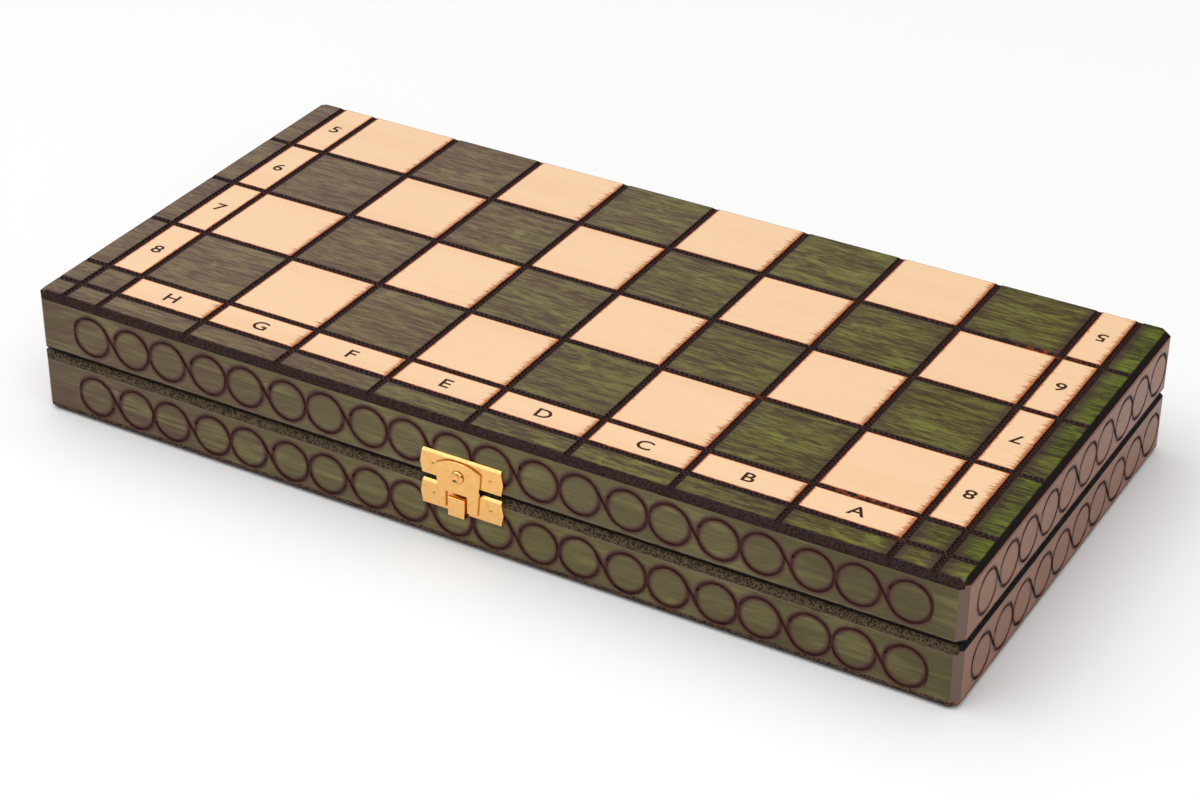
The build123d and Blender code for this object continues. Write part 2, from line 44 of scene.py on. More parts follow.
# Sizes of the board and trays, as the solids have them
SQUARE = 37.2 * MM
FILES = 8
RANKS_PER_HALF = 4
LABEL_STRIP = 14.8 * MM
OUTER_BORDER = 11.4 * MM
HALF_LINE = 2.6 * MM / 2
EDGE_CHAMFER = 1.8 * MM
RIM_CHAMFER = 1.4 * MM
CORNER_CHAMFER = 2.6 * MM
SCROLL_RADIUS = 7.3 * MM
SCROLL_SPACING = 17.2 * MM
SCROLL_WIDTH = 1.2 * MM
SCROLL_PITCH = 32.4 * MM
SCROLL_SHIFT = 2.8 * MM
SCROLL_DROP = 0.8 * MM
SCROLLS_ALONG_LENGTH = 10
SCROLLS_ALONG_WIDTH = 5

panel_low, panel_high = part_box("upper_board_panel")
_, rail_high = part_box("lower_left_rail")
CASE_LENGTH = panel_high[0] - panel_low[0]
CASE_WIDTH = panel_high[1] - panel_low[1]
CASE_TOP = panel_high[2]
CASE_Y = (panel_low[1] + panel_high[1]) / 2
FRONT_Y = panel_low[1]
TRAY_HEIGHT = rail_high[2]
BOARD_HALF = FILES * SQUARE / 2
RANK_START = FRONT_Y + OUTER_BORDER + LABEL_STRIP

# Stain and wood colours, in linear light
NATURAL = (0.93, 0.625, 0.375)
NATURAL_GRAIN = (0.87, 0.54, 0.295)
SCORCH = (0.60, 0.15, 0.03)
SCORCH_TICK = (0.42, 0.11, 0.022)
GREEN = (0.050, 0.026, 0.005)
GREEN_STREAK = (0.172, 0.176, 0.028)
EDGE_GREEN = (0.030, 0.024, 0.002)
EDGE_GREEN_STREAK = (0.150, 0.180, 0.012)
# The left stain's grey-brown and its streak are partly stain colour and partly painted sheen
GREY_GREEN_WITH_SHEEN = (0.088, 0.037, 0.020)
GREY_GREEN_STREAK_WITH_SHEEN = (0.200, 0.146, 0.056)
BURNT = (0.036, 0.012, 0.010)
BURNT_RIDGE = (0.082, 0.029, 0.023)
CHAR = (0.005, 0.0025, 0.002)
# Painted orange glints in the grooves that run along the grain
GROOVE_GLINT = (0.42, 0.075, 0.012)
RAIL_BROWN = (0.104, 0.058, 0.033)
RAIL_GREEN = (0.112, 0.090, 0.034)
RAIL_STREAK = (0.235, 0.225, 0.075)
RIM_BROWN = (0.115, 0.078, 0.036)
# The end faces' brown and its streak are partly stain and partly painted glare
SIDE_BROWN_WITH_GLARE = (0.265, 0.116, 0.064)
SIDE_STREAK_WITH_GLARE = (0.340, 0.158, 0.088)
CORNER_BROWN = (0.160, 0.105, 0.080)
# A painted glint along the edge just past the rails' burnt bevels
EDGE_GLINT = (0.300, 0.200, 0.165)
SCROLL_BURN = (0.062, 0.018, 0.014)
SCROLL_HALO = (0.085, 0.032, 0.023)
PLAIN_WOOD = (0.66, 0.42, 0.22)
PLAIN_WOOD_GRAIN = (0.46, 0.26, 0.12)
BRASS = (0.89, 0.50, 0.175)
FELT_DARK = (0.012, 0.050, 0.022)
FELT_PALE = (0.040, 0.150, 0.065)
FELT_PATCH = (0.010, 0.035, 0.018)
INK_DARK = (0.030, 0.011, 0.006)
INK_PALE = (0.062, 0.025, 0.015)
FLOOR_DARK = (0.92, 0.92, 0.92)
FLOOR_PALE = (0.94, 0.94, 0.94)

# Marks of the burning tools, and how glossy each kind of wood is
ROPE_PITCH = 1.9 * MM
SPECK_SIZE = 0.8 * MM
SCORCH_REACH = 4.5 * MM
PANEL_JOINT_BAND = 0.3 * MM
PUNCHED_BAND = 1.3 * MM
NARROW_BAND = 0.2 * MM
BARE_BAND = -0.6 * MM
BAND_BLUR = 0.5 * MM
BOARD_COAT = 0.8
RAIL_COAT = 0.3


class Graph:
    """The node tree of one material, built by short expressions."""

    def __init__(self, name):
        self.material = bpy.data.materials.new(name)
        self.material.use_nodes = True
        self.tree = self.material.node_tree
        self.shader = self.tree.nodes["Principled BSDF"]
        self.place = self.node("ShaderNodeTexCoord").outputs["Object"]
        parts = self.node("ShaderNodeSeparateXYZ", Vector=self.place)
        self.x, self.y, self.z = parts.outputs

    def put(self, socket, value):
        if isinstance(value, bpy.types.NodeSocket):
            self.tree.links.new(value, socket)
        elif isinstance(value, tuple) and len(value) == 3 and socket.type == "RGBA":
            socket.default_value = (*value, 1)
        else:
            socket.default_value = value

    def node(self, kind, settings=None, **inputs):
        made = self.tree.nodes.new(kind)
        for name, value in (settings or {}).items():
            setattr(made, name, value)
        for name, value in inputs.items():
            self.put(made.inputs[name], value)
        return made

    def math(self, operation, *values):
        made = self.node("ShaderNodeMath", {"operation": operation})
        for socket, value in zip(made.inputs, values):
            self.put(socket, value)
        return made.outputs[0]

    def add(self, a, b):
        return self.math("ADD", a, b)

    def subtract(self, a, b):
        return self.math("SUBTRACT", a, b)

    def times(self, a, b):
        return self.math("MULTIPLY", a, b)

    def least(self, first, *others):
        for other in others:
            first = self.math("MINIMUM", first, other)
        return first

    def most(self, first, *others):
        for other in others:
            first = self.math("MAXIMUM", first, other)
        return first

    def distance(self, a, b):
        return self.math("ABSOLUTE", self.subtract(a, b))

    def ramp(self, value, low, high):
        """0 up to low, 1 from high on, smooth between them; low may be the larger."""
        made = self.node(
            "ShaderNodeMapRange",
            {"interpolation_type": "SMOOTHSTEP"},
            Value=value,
            **{"From Min": low, "From Max": high, "To Min": 0.0, "To Max": 1.0},
        )
        return made.outputs[0]

    def above(self, value, limit):
        return self.math("GREATER_THAN", value, limit)

    def below(self, value, limit):
        return self.math("LESS_THAN", value, limit)

    def blend(self, factor, a, b):
        made = self.node("ShaderNodeMix", {"data_type": "RGBA"})
        self.put(made.inputs[0], factor)
        self.put(made.inputs[6], a)
        self.put(made.inputs[7], b)
        return made.outputs[2]

    def stretched(self, x, y, z, turn=(0, 0, 0)):
        made = self.node("ShaderNodeMapping", Vector=self.place)
        made.inputs["Scale"].default_value = (x, y, z)
        made.inputs["Rotation"].default_value = turn
        return made.outputs[0]

    def noise(self, vector, detail=3.0, roughness=0.55, distortion=0.0):
        made = self.node(
            "ShaderNodeTexNoise",
            Vector=vector,
            Scale=1.0,
            Detail=detail,
            Roughness=roughness,
            Distortion=distortion,
        )
        return made.outputs[0]

    def cells(self, vector, scale, feature="F1"):
        made = self.node(
            "ShaderNodeTexVoronoi", {"feature": feature}, Vector=vector, Scale=scale
        )
        return made.outputs["Distance"]

    def bump(self, height, distance, strength=1.0):
        made = self.node("ShaderNodeBump", Height=height, Distance=distance, Strength=strength)
        self.put(self.shader.inputs["Normal"], made.outputs[0])

    def surface(self, **inputs):
        for name, value in inputs.items():
            self.put(self.shader.inputs[name.replace("_", " ")], value)


def lacquer(g, color, roughness=0.5, coat=0.8):
    """Stained or plain wood under a clear gloss coat."""
    g.surface(
        Base_Color=color,
        Roughness=roughness,
        Coat_Weight=coat,
        Coat_Roughness=0.12,
        Coat_IOR=1.45,
        Specular_IOR_Level=0.12,
    )


# Wood


def grain_vector(g, along, length=25.0, across=900.0):
    """Coordinates that stretch a noise along the grain, which runs along x or y."""
    if along == "x":
        return g.stretched(length, across, across)
    return g.stretched(across, length, across)


def natural_wood(g, along="x"):
    """Pale plain wood with fine, nearly even grain and a few wider bands."""
    fine = g.noise(grain_vector(g, along, 22, 700), 4.0, 0.6)
    wide = g.noise(grain_vector(g, along, 5, 90), 2.0, 0.5)
    grain = g.times(g.ramp(fine, 0.42, 0.78), 0.35)
    bands = g.times(g.ramp(wide, 0.45, 0.75), 0.35)
    return g.blend(g.add(grain, bands), NATURAL, NATURAL_GRAIN), fine


def stained_wood(g):
    """Streaky green stain over brown: greyer to the left, partly its own colour and partly painted
    sheen, and greenest on the right border.
    """
    warp = g.noise(g.stretched(18, 40, 40), 2.0, 0.5)
    fine = g.noise(g.stretched(130, 1000, 1000), 5.0, 0.7)
    streaks = g.noise(g.stretched(24, 300, 300), 3.0, 0.6, 0.4)
    figure = g.noise(g.stretched(34, 90, 90), 3.0, 0.55, 1.8)
    shifted = g.add(g.x, g.times(g.subtract(warp, 0.5), 0.12))
    # The grey-brown towards the left is partly painted sheen, and it fades out towards the right
    to_right = g.ramp(shifted, -0.14, 0.13)
    on_border = g.ramp(shifted, 0.150, 0.172)
    ground = g.blend(on_border, g.blend(to_right, GREY_GREEN_WITH_SHEEN, GREEN), EDGE_GREEN)
    light = g.blend(on_border, g.blend(to_right, GREY_GREEN_STREAK_WITH_SHEEN, GREEN_STREAK), EDGE_GREEN_STREAK)
    glow = g.add(g.times(g.ramp(streaks, 0.42, 0.66), 0.35), g.times(g.ramp(fine, 0.45, 0.56), 0.5))
    glow = g.add(glow, g.times(g.ramp(figure, 0.57, 0.63), 0.35))
    return g.blend(g.least(glow, 1.0), ground, light), fine


# Board


def grid_distance(g, value, last_line):
    """How far a place is from the nearest of the lines 0 to last_line, in the value's unit."""
    clamped = g.most(g.least(value, float(last_line)), 0.0)
    return g.add(g.math("PINGPONG", clamped, 0.5), g.distance(value, clamped))


def board_zones(g, dark_parity):
    """The board's zones: natural wood or not, distances to the lines, and right-hand ends."""
    file_place = g.add(g.math("DIVIDE", g.x, SQUARE), FILES / 2)
    rank_place = g.math("DIVIDE", g.subtract(g.y, RANK_START), SQUARE)
    side = g.math("ABSOLUTE", g.x)
    to_x_line = g.least(
        g.times(grid_distance(g, file_place, FILES), SQUARE),
        g.distance(side, BOARD_HALF + LABEL_STRIP),
    )
    to_y_line = g.least(
        g.times(grid_distance(g, rank_place, RANKS_PER_HALF - 1), SQUARE),
        g.distance(g.y, FRONT_Y + OUTER_BORDER),
    )
    in_files = g.below(side, BOARD_HALF)
    in_ranks = g.above(rank_place, 0.0)
    step = g.add(g.math("FLOOR", file_place), g.math("FLOOR", rank_place))
    odd = g.math("ABSOLUTE", g.math("FLOORED_MODULO", g.add(step, float(dark_parity)), 2.0))
    light_square = g.times(g.times(in_files, in_ranks), g.above(odd, 0.5))
    rank_strip = g.times(g.subtract(1.0, in_files), g.below(side, BOARD_HALF + LABEL_STRIP))
    rank_strip = g.times(rank_strip, in_ranks)
    file_strip = g.times(in_files, g.subtract(1.0, in_ranks))
    file_strip = g.times(file_strip, g.above(g.y, FRONT_Y + OUTER_BORDER))
    natural = g.add(light_square, g.add(rank_strip, file_strip))
    right_half = g.times(g.above(g.math("FRACT", file_place), 0.5), in_files)
    right_end = g.most(right_half, g.above(g.x, BOARD_HALF + LABEL_STRIP / 2))
    return natural, to_x_line, to_y_line, right_end


def rope(g):
    """The crossing strokes of a hot wheel in the board's grooves: 0 in a pit, 1 on a stroke."""
    strokes = []
    for diagonal in (g.add(g.x, g.y), g.subtract(g.x, g.y)):
        wave = g.math("SINE", g.times(diagonal, math.pi / ROPE_PITCH))
        strokes.append(g.math("ABSOLUTE", wave))
    rough = g.noise(g.stretched(900, 900, 900), 3.0, 0.6)
    between = g.add(g.least(*strokes), g.times(g.subtract(rough, 0.5), 0.9))
    return g.ramp(between, 0.5, 0.1)


def stipple(g):
    """The small pits that a hot punch leaves along the rims: 0 in a pit, 1 between them."""
    pits = g.cells(g.place, 1 / SPECK_SIZE)
    return g.ramp(pits, 0.2, 0.62)


def groove_glint_mask(g):
    """Where a burnt groove shows a lighter orange brown, a painted glint."""
    place = g.noise(g.stretched(24, 40, 40), 2.0, 0.5)
    ridge = g.noise(g.stretched(600, 900, 600), 3.0, 0.6)
    return g.times(g.ramp(place, 0.54, 0.66), g.ramp(ridge, 0.48, 0.6))


def scorched_ends(g, beyond_x, right_end):
    """Fine burnt ticks that run along the grain from the grooves, longest at right-hand ends."""
    ragged = g.noise(g.stretched(90, 2100, 300), 3.0, 0.62)
    longest = g.add(5 * MM, g.times(right_end, 13 * MM))
    reach = g.add(0.2 * MM, g.times(g.math("POWER", ragged, 3.5), longest))
    return g.ramp(g.math("DIVIDE", beyond_x, reach), 1.0, 0.25)


def board_face(g, dark_parity):
    """The board's two woods, scorched beside the grooves, with the distances to the grooves."""
    natural, to_x_line, to_y_line, right_end = board_zones(g, dark_parity)
    wood, wood_grain = natural_wood(g)
    stain, stain_grain = stained_wood(g)
    beyond_x = g.subtract(to_x_line, HALF_LINE)
    beyond_y = g.subtract(to_y_line, HALF_LINE)

    wood = g.blend(g.times(scorched_ends(g, beyond_x, right_end), 0.9), wood, SCORCH_TICK)
    rim = g.ramp(g.least(beyond_x, beyond_y), 0.5 * MM, 0.05 * MM)
    wood = g.blend(rim, wood, SCORCH)

    nearest = g.least(to_x_line, to_y_line)
    close = g.times(g.ramp(nearest, HALF_LINE + 0.9 * MM, HALF_LINE), 0.6)
    to_right = g.add(0.15, g.times(g.ramp(g.x, 0.05, 0.17), 0.6))
    smoke = g.times(g.ramp(beyond_x, SCORCH_REACH, 0.0), to_right)
    stain = g.blend(g.most(close, smoke), stain, BURNT)
    grain = g.add(wood_grain, stain_grain)
    return g.blend(natural, stain, wood), grain, nearest, to_y_line


def board_groove(g, marks, to_y_line):
    """The colour in a groove: crossed strokes, with painted orange glints in the ones along the
    grain.
    """
    groove = g.blend(marks, CHAR, BURNT_RIDGE)
    # The painted glints appear only in grooves along x, towards the right
    runs_along = g.times(g.below(to_y_line, HALF_LINE), g.ramp(g.x, 0.03, 0.14))
    return g.blend(g.times(groove_glint_mask(g), runs_along), groove, GROOVE_GLINT)


def board_edge(g, wobble, specks, face_z, long_edge):
    """The panel's burnt bevel and upright edge: where they are, and their colour."""
    end_gap = g.subtract(CASE_LENGTH / 2, g.math("ABSOLUTE", g.x))
    side_gap = g.subtract(CASE_WIDTH / 2, g.distance(g.y, CASE_Y))
    from_edge = g.add(g.least(end_gap, side_gap), wobble)
    edge = g.ramp(from_edge, EDGE_CHAMFER + 0.5 * MM, EDGE_CHAMFER - 0.3 * MM)
    end_face = g.below(end_gap, side_gap)
    speckled = g.times(g.ramp(specks, 0.3, 0.9), g.subtract(0.34, g.times(end_face, 0.26)))
    char = g.blend(speckled, CHAR, BURNT_RIDGE)
    below_face = g.distance(g.z, face_z)
    upright = g.ramp(below_face, EDGE_CHAMFER - 0.1 * MM, EDGE_CHAMFER + 0.1 * MM)
    strip = g.blend(g.ramp(specks, 0.2, 0.9), CHAR, long_edge)
    # The board's end faces take the end rails' brown, which is partly painted glare
    strip = g.blend(end_face, strip, SIDE_BROWN_WITH_GLARE)
    return edge, g.blend(upright, char, strip)


def board_material(name, face_z, dark_parity, long_edge):
    """One half of the board: the height of its face, its chequer and the colour of its long edges."""
    g = Graph(name)
    face, grain, nearest, to_y_line = board_face(g, dark_parity)
    marks = rope(g)
    specks = stipple(g)
    wobble = g.times(g.subtract(g.noise(g.stretched(500, 500, 500), 2.0, 0.5), 0.5), 0.5 * MM)
    in_line = g.ramp(g.add(nearest, wobble), HALF_LINE + 0.08 * MM, HALF_LINE - 0.12 * MM)
    color = g.blend(in_line, face, board_groove(g, marks, to_y_line))
    edge, edge_color = board_edge(g, wobble, specks, face_z, long_edge)
    color = g.blend(edge, color, edge_color)

    burnt = g.most(in_line, edge)
    relief = g.add(g.times(marks, in_line), g.times(g.times(specks, edge), 0.6))
    fibre = g.times(g.times(grain, 0.12), g.subtract(1.0, burnt))
    roughness = g.add(0.5, g.times(burnt, 0.2))
    coat = g.subtract(BOARD_COAT, g.times(burnt, 0.9 * BOARD_COAT))
    lacquer(g, color, roughness, coat)
    g.bump(g.add(relief, fibre), 0.25 * MM)
    return g.material


# Rails


def scroll_distance(g, along, height):
    """How far a place on a rail's outer face is from the middle of its burnt scroll."""
    half = SCROLL_SPACING / 2
    rings = []
    for centre in (-half, half):
        from_centre = g.math(
            "SQRT",
            g.add(g.math("POWER", g.subtract(along, centre), 2.0), g.math("POWER", height, 2.0)),
        )
        rings.append(g.distance(from_centre, SCROLL_RADIUS))
    angle = math.acos(SCROLL_RADIUS / half)
    across = g.add(g.times(along, math.cos(angle)), g.times(height, math.sin(angle)))
    down = g.subtract(g.times(along, math.sin(angle)), g.times(height, math.cos(angle)))
    past = g.most(g.subtract(g.math("ABSOLUTE", down), half * math.sin(angle)), 0.0)
    crossing = g.add(g.math("ABSOLUTE", across), past)
    return g.least(crossing, *rings)


def rail_stain(g, side):
    """The stain of one rail: brown to green from left to right in front, plain brown on the ends,
    which is partly painted glare there.
    """
    grain_along = "x" if side in ("front", "back") else "y"
    fine = g.noise(grain_vector(g, grain_along, 60, 900), 5.0, 0.7)
    streaks = g.noise(grain_vector(g, grain_along, 26, 260), 3.0, 0.6, 0.8)
    clouds = g.noise(g.stretched(24, 24, 70), 3.0, 0.55)
    glow = g.add(g.times(g.ramp(streaks, 0.44, 0.72), 0.5), g.times(g.ramp(fine, 0.38, 0.72), 0.4))
    # On the end rails the greyish brown is partly painted glare
    if grain_along == "y":
        return g.blend(g.least(glow, 1.0), SIDE_BROWN_WITH_GLARE, SIDE_STREAK_WITH_GLARE), fine
    shifted = g.add(g.x, g.times(g.subtract(clouds, 0.5), 0.3))
    ground = g.blend(g.ramp(shifted, -0.17, -0.02), RAIL_BROWN, RAIL_GREEN)
    stain = g.blend(g.times(glow, g.ramp(clouds, 0.75, 0.35)), ground, RAIL_STREAK)
    return g.blend(g.times(g.ramp(shifted, 0.08, 0.17), 0.38), stain, EDGE_GREEN), fine


def rail_places(g, side, tray):
    """Where a place is on a rail: along it, up from its middle, and in from its outer face."""
    middle = TRAY_HEIGHT / 2 if tray == "lower" else CASE_TOP - TRAY_HEIGHT / 2
    height = g.subtract(g.z, middle)
    if side in ("front", "back"):
        run = g.x
        behind = g.subtract(CASE_WIDTH / 2, g.distance(g.y, CASE_Y))
    else:
        run = g.subtract(g.y, CASE_Y)
        behind = g.subtract(CASE_LENGTH / 2, g.math("ABSOLUTE", g.x))
    sign = 1.0 if side in ("front", "right") else -1.0
    return g.times(run, sign), height, behind


def burn_scrolls(g, stain, fine, run, height, shiver, smoke, lengthwise):
    """The stain with the chain of scrolls burnt into it, and where the groove is."""
    count = SCROLLS_ALONG_LENGTH if lengthwise else SCROLLS_ALONG_WIDTH
    turns = g.add(g.math("DIVIDE", g.subtract(run, SCROLL_SHIFT), SCROLL_PITCH), count / 2)
    within = g.times(g.above(turns, 0.0), g.below(turns, float(count)))
    along = g.times(g.subtract(g.math("FRACT", turns), 0.5), SCROLL_PITCH)
    from_middle = g.add(scroll_distance(g, along, g.add(height, SCROLL_DROP)), shiver)
    outside = g.subtract(from_middle, SCROLL_WIDTH / 2)
    smoked = 0.85 if lengthwise else 0.4
    halo = g.times(g.ramp(outside, 1.3 * MM, 0.3 * MM), g.ramp(smoke, 0.2, 0.5))
    color = g.blend(g.times(g.times(halo, smoked), within), stain, SCROLL_HALO)
    groove = g.times(g.ramp(outside, 0.12 * MM, -0.12 * MM), within)
    burn = g.blend(g.ramp(fine, 0.25, 0.5), CHAR, SCROLL_BURN)
    return g.blend(groove, color, burn), groove


def burn_edges(g, color, height, shiver, smoke, specks, tray, lengthwise):
    """The rail's colour with its burnt rim and panel joint, and where those two bands are."""
    from_face = g.subtract(TRAY_HEIGHT / 2, g.distance(height, 0.0))
    to_rim = g.add(from_face, shiver)
    by_panel = g.above(height, 0.0) if tray == "upper" else g.below(height, 0.0)
    punched = tray == "lower" and lengthwise
    charred = tray == "upper" and lengthwise
    rim_band = RIM_CHAMFER + (PUNCHED_BAND if punched else NARROW_BAND)
    panel_band = EDGE_CHAMFER + (PANEL_JOINT_BAND if charred else BARE_BAND)
    rim_edge = g.times(g.ramp(to_rim, rim_band + BAND_BLUR, rim_band), g.subtract(1.0, by_panel))
    panel_edge = g.times(g.ramp(to_rim, panel_band + BAND_BLUR, panel_band), by_panel)
    # The thin pale line just past each burnt band is a painted glint on the bevel's edge
    if lengthwise:
        glint_place = g.add(rim_band + 0.4 * MM, g.times(by_panel, panel_band - rim_band))
        worn = g.ramp(g.distance(from_face, glint_place), 0.32 * MM, 0.1 * MM)
        color = g.blend(g.times(worn, g.times(g.ramp(smoke, 0.3, 0.6), 0.45)), color, EDGE_GLINT)
    rim_color = g.blend(g.times(specks, 0.8), CHAR, RIM_BROWN if punched else CHAR)
    color = g.blend(rim_edge, color, rim_color)
    panel_color = g.blend(g.ramp(specks, 0.0, 0.7), CHAR, BURNT if charred else RAIL_BROWN)
    color = g.blend(panel_edge, color, panel_color)
    return color, g.most(rim_edge, panel_edge)


def rail_material(name, side, tray):
    """One rail: its scrolls, its burnt rim and the plain wood of its inner face."""
    g = Graph(name)
    lengthwise = side in ("front", "back")
    length = CASE_LENGTH if lengthwise else CASE_WIDTH
    run, height, behind = rail_places(g, side, tray)
    wood, _ = natural_wood(g, "x" if lengthwise else "y")
    stain, fine = rail_stain(g, side)
    shiver = g.times(g.subtract(g.noise(g.stretched(160, 160, 160), 2.0, 0.5), 0.5), 0.5 * MM)
    smoke = g.noise(g.stretched(220, 220, 220), 3.0, 0.6)
    specks = stipple(g)

    color, groove = burn_scrolls(g, stain, fine, run, height, shiver, smoke, lengthwise)
    reach = length / 2 - CORNER_CHAMFER
    at_corner = g.ramp(g.math("ABSOLUTE", run), reach - 0.1 * MM, reach + 0.1 * MM)
    color = g.blend(at_corner, color, CORNER_BROWN)
    color, edge = burn_edges(g, color, height, shiver, smoke, specks, tray, lengthwise)
    inside = g.above(behind, RIM_CHAMFER + 1.6 * MM)
    color = g.blend(inside, color, wood)

    dull = g.times(g.most(edge, groove), 0.8 * RAIL_COAT)
    lacquer(g, color, 0.5, g.subtract(RAIL_COAT, dull))
    g.bump(g.add(g.times(specks, edge), g.times(fine, 0.15)), 0.2 * MM)
    return g.material


# Metal, felt and plain wood


def brass_material(name, tone=1.0):
    """Polished pressed brass: a little wavy, with fine wear and darker lows."""
    g = Graph(name)
    wear = g.noise(g.stretched(420, 420, 420), 4.0, 0.6)
    waves = g.noise(g.stretched(130, 130, 130), 2.0, 0.5)
    scratches = g.noise(g.stretched(300, 4000, 4000), 3.0, 0.6)
    bright = tuple(part * tone for part in BRASS)
    worn = (bright[0] * 0.78, bright[1] * 0.68, bright[2] * 0.55)
    g.surface(
        Base_Color=g.blend(g.ramp(wear, 0.5, 0.85), bright, worn),
        Metallic=1.0,
        Roughness=g.add(0.13, g.times(scratches, 0.14)),
    )
    g.bump(g.add(waves, g.times(scratches, 0.12)), 0.12 * MM)
    return g.material


def felt_material():
    """Short green felt."""
    g = Graph("felt")
    nap = g.noise(g.stretched(1800, 1800, 1800), 4.0, 0.7)
    patches = g.noise(g.stretched(60, 60, 60), 3.0, 0.6)
    color = g.blend(nap, FELT_DARK, FELT_PALE)
    color = g.blend(g.times(patches, 0.4), color, FELT_PATCH)
    g.surface(Base_Color=color, Roughness=0.95, Sheen_Weight=0.4, Sheen_Roughness=0.5)
    g.bump(nap, 0.35 * MM)
    return g.material


def plain_wood_material(name, pale, dark, along, gloss):
    """Lacquered wood with grain along one axis."""
    g = Graph(name)
    fine = g.noise(grain_vector(g, along, 30, 900), 4.0, 0.6)
    bands = g.noise(grain_vector(g, along, 12, 220), 3.0, 0.55, 0.8)
    mix = g.add(g.times(g.ramp(fine, 0.4, 0.75), 0.5), g.times(g.ramp(bands, 0.4, 0.7), 0.5))
    lacquer(g, g.blend(mix, pale, dark), gloss)
    g.bump(fine, 0.05 * MM)
    return g.material


def dress(node, material):
    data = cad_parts[node].data
    data.materials.clear()
    data.materials.append(material)


def dress_case():
    dress("upper_board_panel", board_material("upper_board", CASE_TOP, 0, BURNT))
    dress("lower_board_panel", board_material("lower_board", 0.0, 1, RAIL_BROWN))
    for tray in ("lower", "upper"):
        for side in ("front", "back", "left", "right"):
            dress(f"{tray}_{side}_rail", rail_material(f"{tray}_{side}_wood", side, tray))
    felt = felt_material()
    dress("lower_lining", felt)
    dress("upper_lining", felt)
    slats = plain_wood_material("slat_wood", PLAIN_WOOD, PLAIN_WOOD_GRAIN, "y", 0.5)
    dress("lane_dividers", slats)


def dress_metal():
    clasp = brass_material("clasp_brass")
    hinge = brass_material("hinge_brass", 0.9)
    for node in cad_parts:
        if node.startswith("clasp_"):
            dress(node, clasp)
        if node.startswith("hinge_"):
            dress(node, hinge)


def dress_men():
    light = plain_wood_material("light_men", NATURAL, PLAIN_WOOD, "y", 0.35)
    dark = plain_wood_material("dark_men", GREEN_STREAK, GREEN, "y", 0.35)
    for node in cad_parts:
        if node.startswith("light_"):
            dress(node, light)
        if node.startswith("dark_"):
            dress(node, dark)


# Coordinates around the board


LETTER_HEIGHT = 5.2 * MM
LETTER_WIDEN = 1.2
LETTER_BOLDEN = 0.11 * MM
CAPITAL_SHARE = 0.73
INK_THICKNESS = 0.04 * MM


def ink_material():
    """Dark brown marking ink, slightly uneven."""
    g = Graph("marking_ink")
    patches = g.noise(g.stretched(900, 900, 900), 3.0, 0.6)
    lacquer(g, g.blend(patches, INK_DARK, INK_PALE), 0.6, 0.0)
    return g.material


def letter_mesh(character):
    """One flat character as a thin closed mesh, centred, with its base line along X."""
    curve = bpy.data.curves.new("letter", "FONT")
    curve.body = character
    curve.size = LETTER_HEIGHT / CAPITAL_SHARE
    curve.align_x = "CENTER"
    curve.extrude = INK_THICKNESS / 2
    curve.offset = LETTER_BOLDEN
    curve.resolution_u = 6
    holder = bpy.data.objects.new("letter", curve)
    bpy.context.scene.collection.objects.link(holder)
    bpy.context.view_layer.update()
    ready = holder.evaluated_get(bpy.context.evaluated_depsgraph_get())
    mesh = bpy.data.meshes.new_from_object(ready)
    bpy.data.objects.remove(holder)
    xs = [v.co.x for v in mesh.vertices]
    ys = [v.co.y for v in mesh.vertices]
    centre = Vector(((min(xs) + max(xs)) / 2, (min(ys) + max(ys)) / 2, 0))
    mesh.transform(Matrix.Diagonal((LETTER_WIDEN, 1, 1, 1)) @ Matrix.Translation(-centre))
    return mesh


def half_board_letters(files, ranks):
    """The marks of one half as (character, x, y, turn), seen from its own clasp edge."""
    marks = []
    strip = LABEL_STRIP / 2
    for index, character in enumerate(files):
        marks.append((character, (index + 0.5) * SQUARE - BOARD_HALF, RANK_START - strip, 0.0))
    for index, character in enumerate(ranks):
        y = RANK_START + (index + 0.5) * SQUARE
        marks.append((character, -BOARD_HALF - strip, y, 0.0))
        marks.append((character, BOARD_HALF + strip, y, math.pi))
    return marks


def make_letters(name, files, ranks, body, flip, material):
    """Join one half's marks into a piece that lies on its face; flip puts it underneath."""
    points = []
    faces = []
    turn_over = Matrix.Translation((0, 0, CASE_TOP / 2)) @ Matrix.Rotation(math.pi, 4, "Y")
    turn_over = turn_over @ Matrix.Translation((0, 0, -CASE_TOP / 2))
    for character, x, y, turn in half_board_letters(files, ranks):
        mesh = letter_mesh(character)
        place = Matrix.Translation((x, y, CASE_TOP)) @ Matrix.Rotation(turn, 4, "Z")
        if flip:
            place = turn_over @ place
        mesh.transform(place)
        start = len(points)
        points += [v.co.copy() for v in mesh.vertices]
        faces += [[start + index for index in face.vertices] for face in mesh.polygons]
        bpy.data.meshes.remove(mesh)
    joined = bpy.data.meshes.new(name)
    joined.from_pydata(points, [], faces)
    joined.materials.append(material)
    piece = bpy.data.objects.new(name, joined)
    bpy.context.scene.collection.objects.link(piece)
    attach(piece, body)


def add_letters():
    ink = ink_material()
    make_letters("upper_coordinates", "HGFEDCBA", "8765", "lid", False, ink)
    make_letters("lower_coordinates", "ABCDEFGH", "1234", "lower_case", True, ink)


# Stage, light and camera


def add_floor():
    bpy.ops.mesh.primitive_plane_add(size=12)
    floor = bpy.context.object
    floor.name = "floor"
    g = Graph("floor_white")
    tone = g.noise(g.stretched(3, 3, 3), 1.0, 0.5)
    g.surface(
        Base_Color=g.blend(tone, FLOOR_DARK, FLOOR_PALE),
        Roughness=0.9,
        Specular_IOR_Level=0.0,
    )
    floor.data.materials.append(g.material)


def sky_glow(tree, direction, starts, full, low, high):
    """The strength of the room's light, growing smoothly from low to high along one direction."""
    glow = tree.nodes.new("ShaderNodeMapRange")
    glow.interpolation_type = "SMOOTHSTEP"
    glow.inputs["From Min"].default_value = starts
    glow.inputs["From Max"].default_value = full
    glow.inputs["To Min"].default_value = low
    glow.inputs["To Max"].default_value = high
    tree.links.new(direction, glow.inputs["Value"])
    return glow.outputs[0]


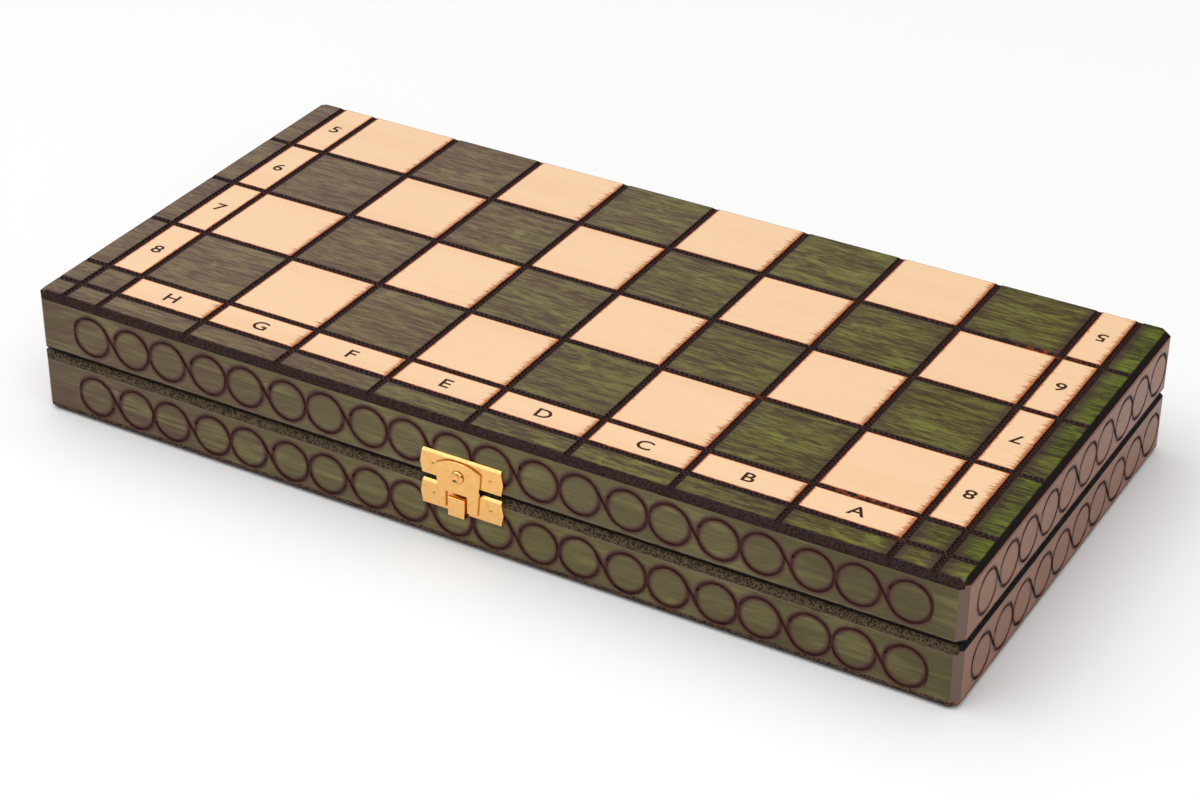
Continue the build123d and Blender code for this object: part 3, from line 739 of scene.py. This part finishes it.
def add_world():
    """A pale room that is bright overhead, half as bright to the left, and dim elsewhere."""
    world = bpy.data.worlds.new("studio")
    bpy.context.scene.world = world
    world.use_nodes = True
    tree = world.node_tree
    background = tree.nodes["Background"]
    place = tree.nodes.new("ShaderNodeTexCoord")
    parts = tree.nodes.new("ShaderNodeSeparateXYZ")
    tree.links.new(place.outputs["Generated"], parts.inputs[0])
    left = sky_glow(tree, parts.outputs["X"], -0.15, -0.62, 0.08, 0.62)
    overhead = sky_glow(tree, parts.outputs["Z"], 0.58, 0.85, 0.0, 1.25)
    total = tree.nodes.new("ShaderNodeMath")
    total.operation = "ADD"
    tree.links.new(left, total.inputs[0])
    tree.links.new(overhead, total.inputs[1])
    tree.links.new(total.outputs[0], background.inputs["Strength"])
    background.inputs["Color"].default_value = (1.0, 1.0, 1.0, 1)


def add_area_light(name, place, size, power):
    light = bpy.data.lights.new(name, "AREA")
    light.shape = "SQUARE"
    light.size = size
    light.energy = power
    holder = bpy.data.objects.new(name, light)
    holder.location = place
    aim = Vector((0, 0, CASE_TOP / 2)) - Vector(place)
    holder.rotation_euler = aim.to_track_quat("-Z", "Y").to_euler()
    bpy.context.scene.collection.objects.link(holder)


LAMP_POWER = 8


def add_lights():
    add_area_light("key_light", (-0.8, -0.7, 1.6), 1.8, LAMP_POWER)
    add_area_light("fill_light", (1.1, -1.0, 1.2), 1.6, LAMP_POWER)


# The photograph's camera, solved from the board's grid
CAMERA_PLACE = (0.4187, -0.7407, 0.5317)
CAMERA_RIGHT = (0.86836, 0.49587, 0.00837)
CAMERA_FORWARD = (-0.4192, 0.7429, -0.5220)
CAMERA_LENS_MM = 85.6


def add_camera():
    data = bpy.data.cameras.new("camera")
    data.lens = CAMERA_LENS_MM
    data.sensor_width = 36
    data.clip_start = 0.01
    camera = bpy.data.objects.new("camera", data)
    forward = Vector(CAMERA_FORWARD).normalized()
    right = Vector(CAMERA_RIGHT)
    right = (right - forward * right.dot(forward)).normalized()
    up = right.cross(forward)
    turn = Matrix((right, up, -forward)).transposed().to_4x4()
    camera.matrix_world = Matrix.Translation(CAMERA_PLACE) @ turn
    bpy.context.scene.collection.objects.link(camera)
    bpy.context.scene.camera = camera


dress_case()
dress_metal()
dress_men()
add_letters()
add_floor()
add_world()
add_lights()
add_camera()
bpy.context.scene.view_settings.view_transform = "Standard"
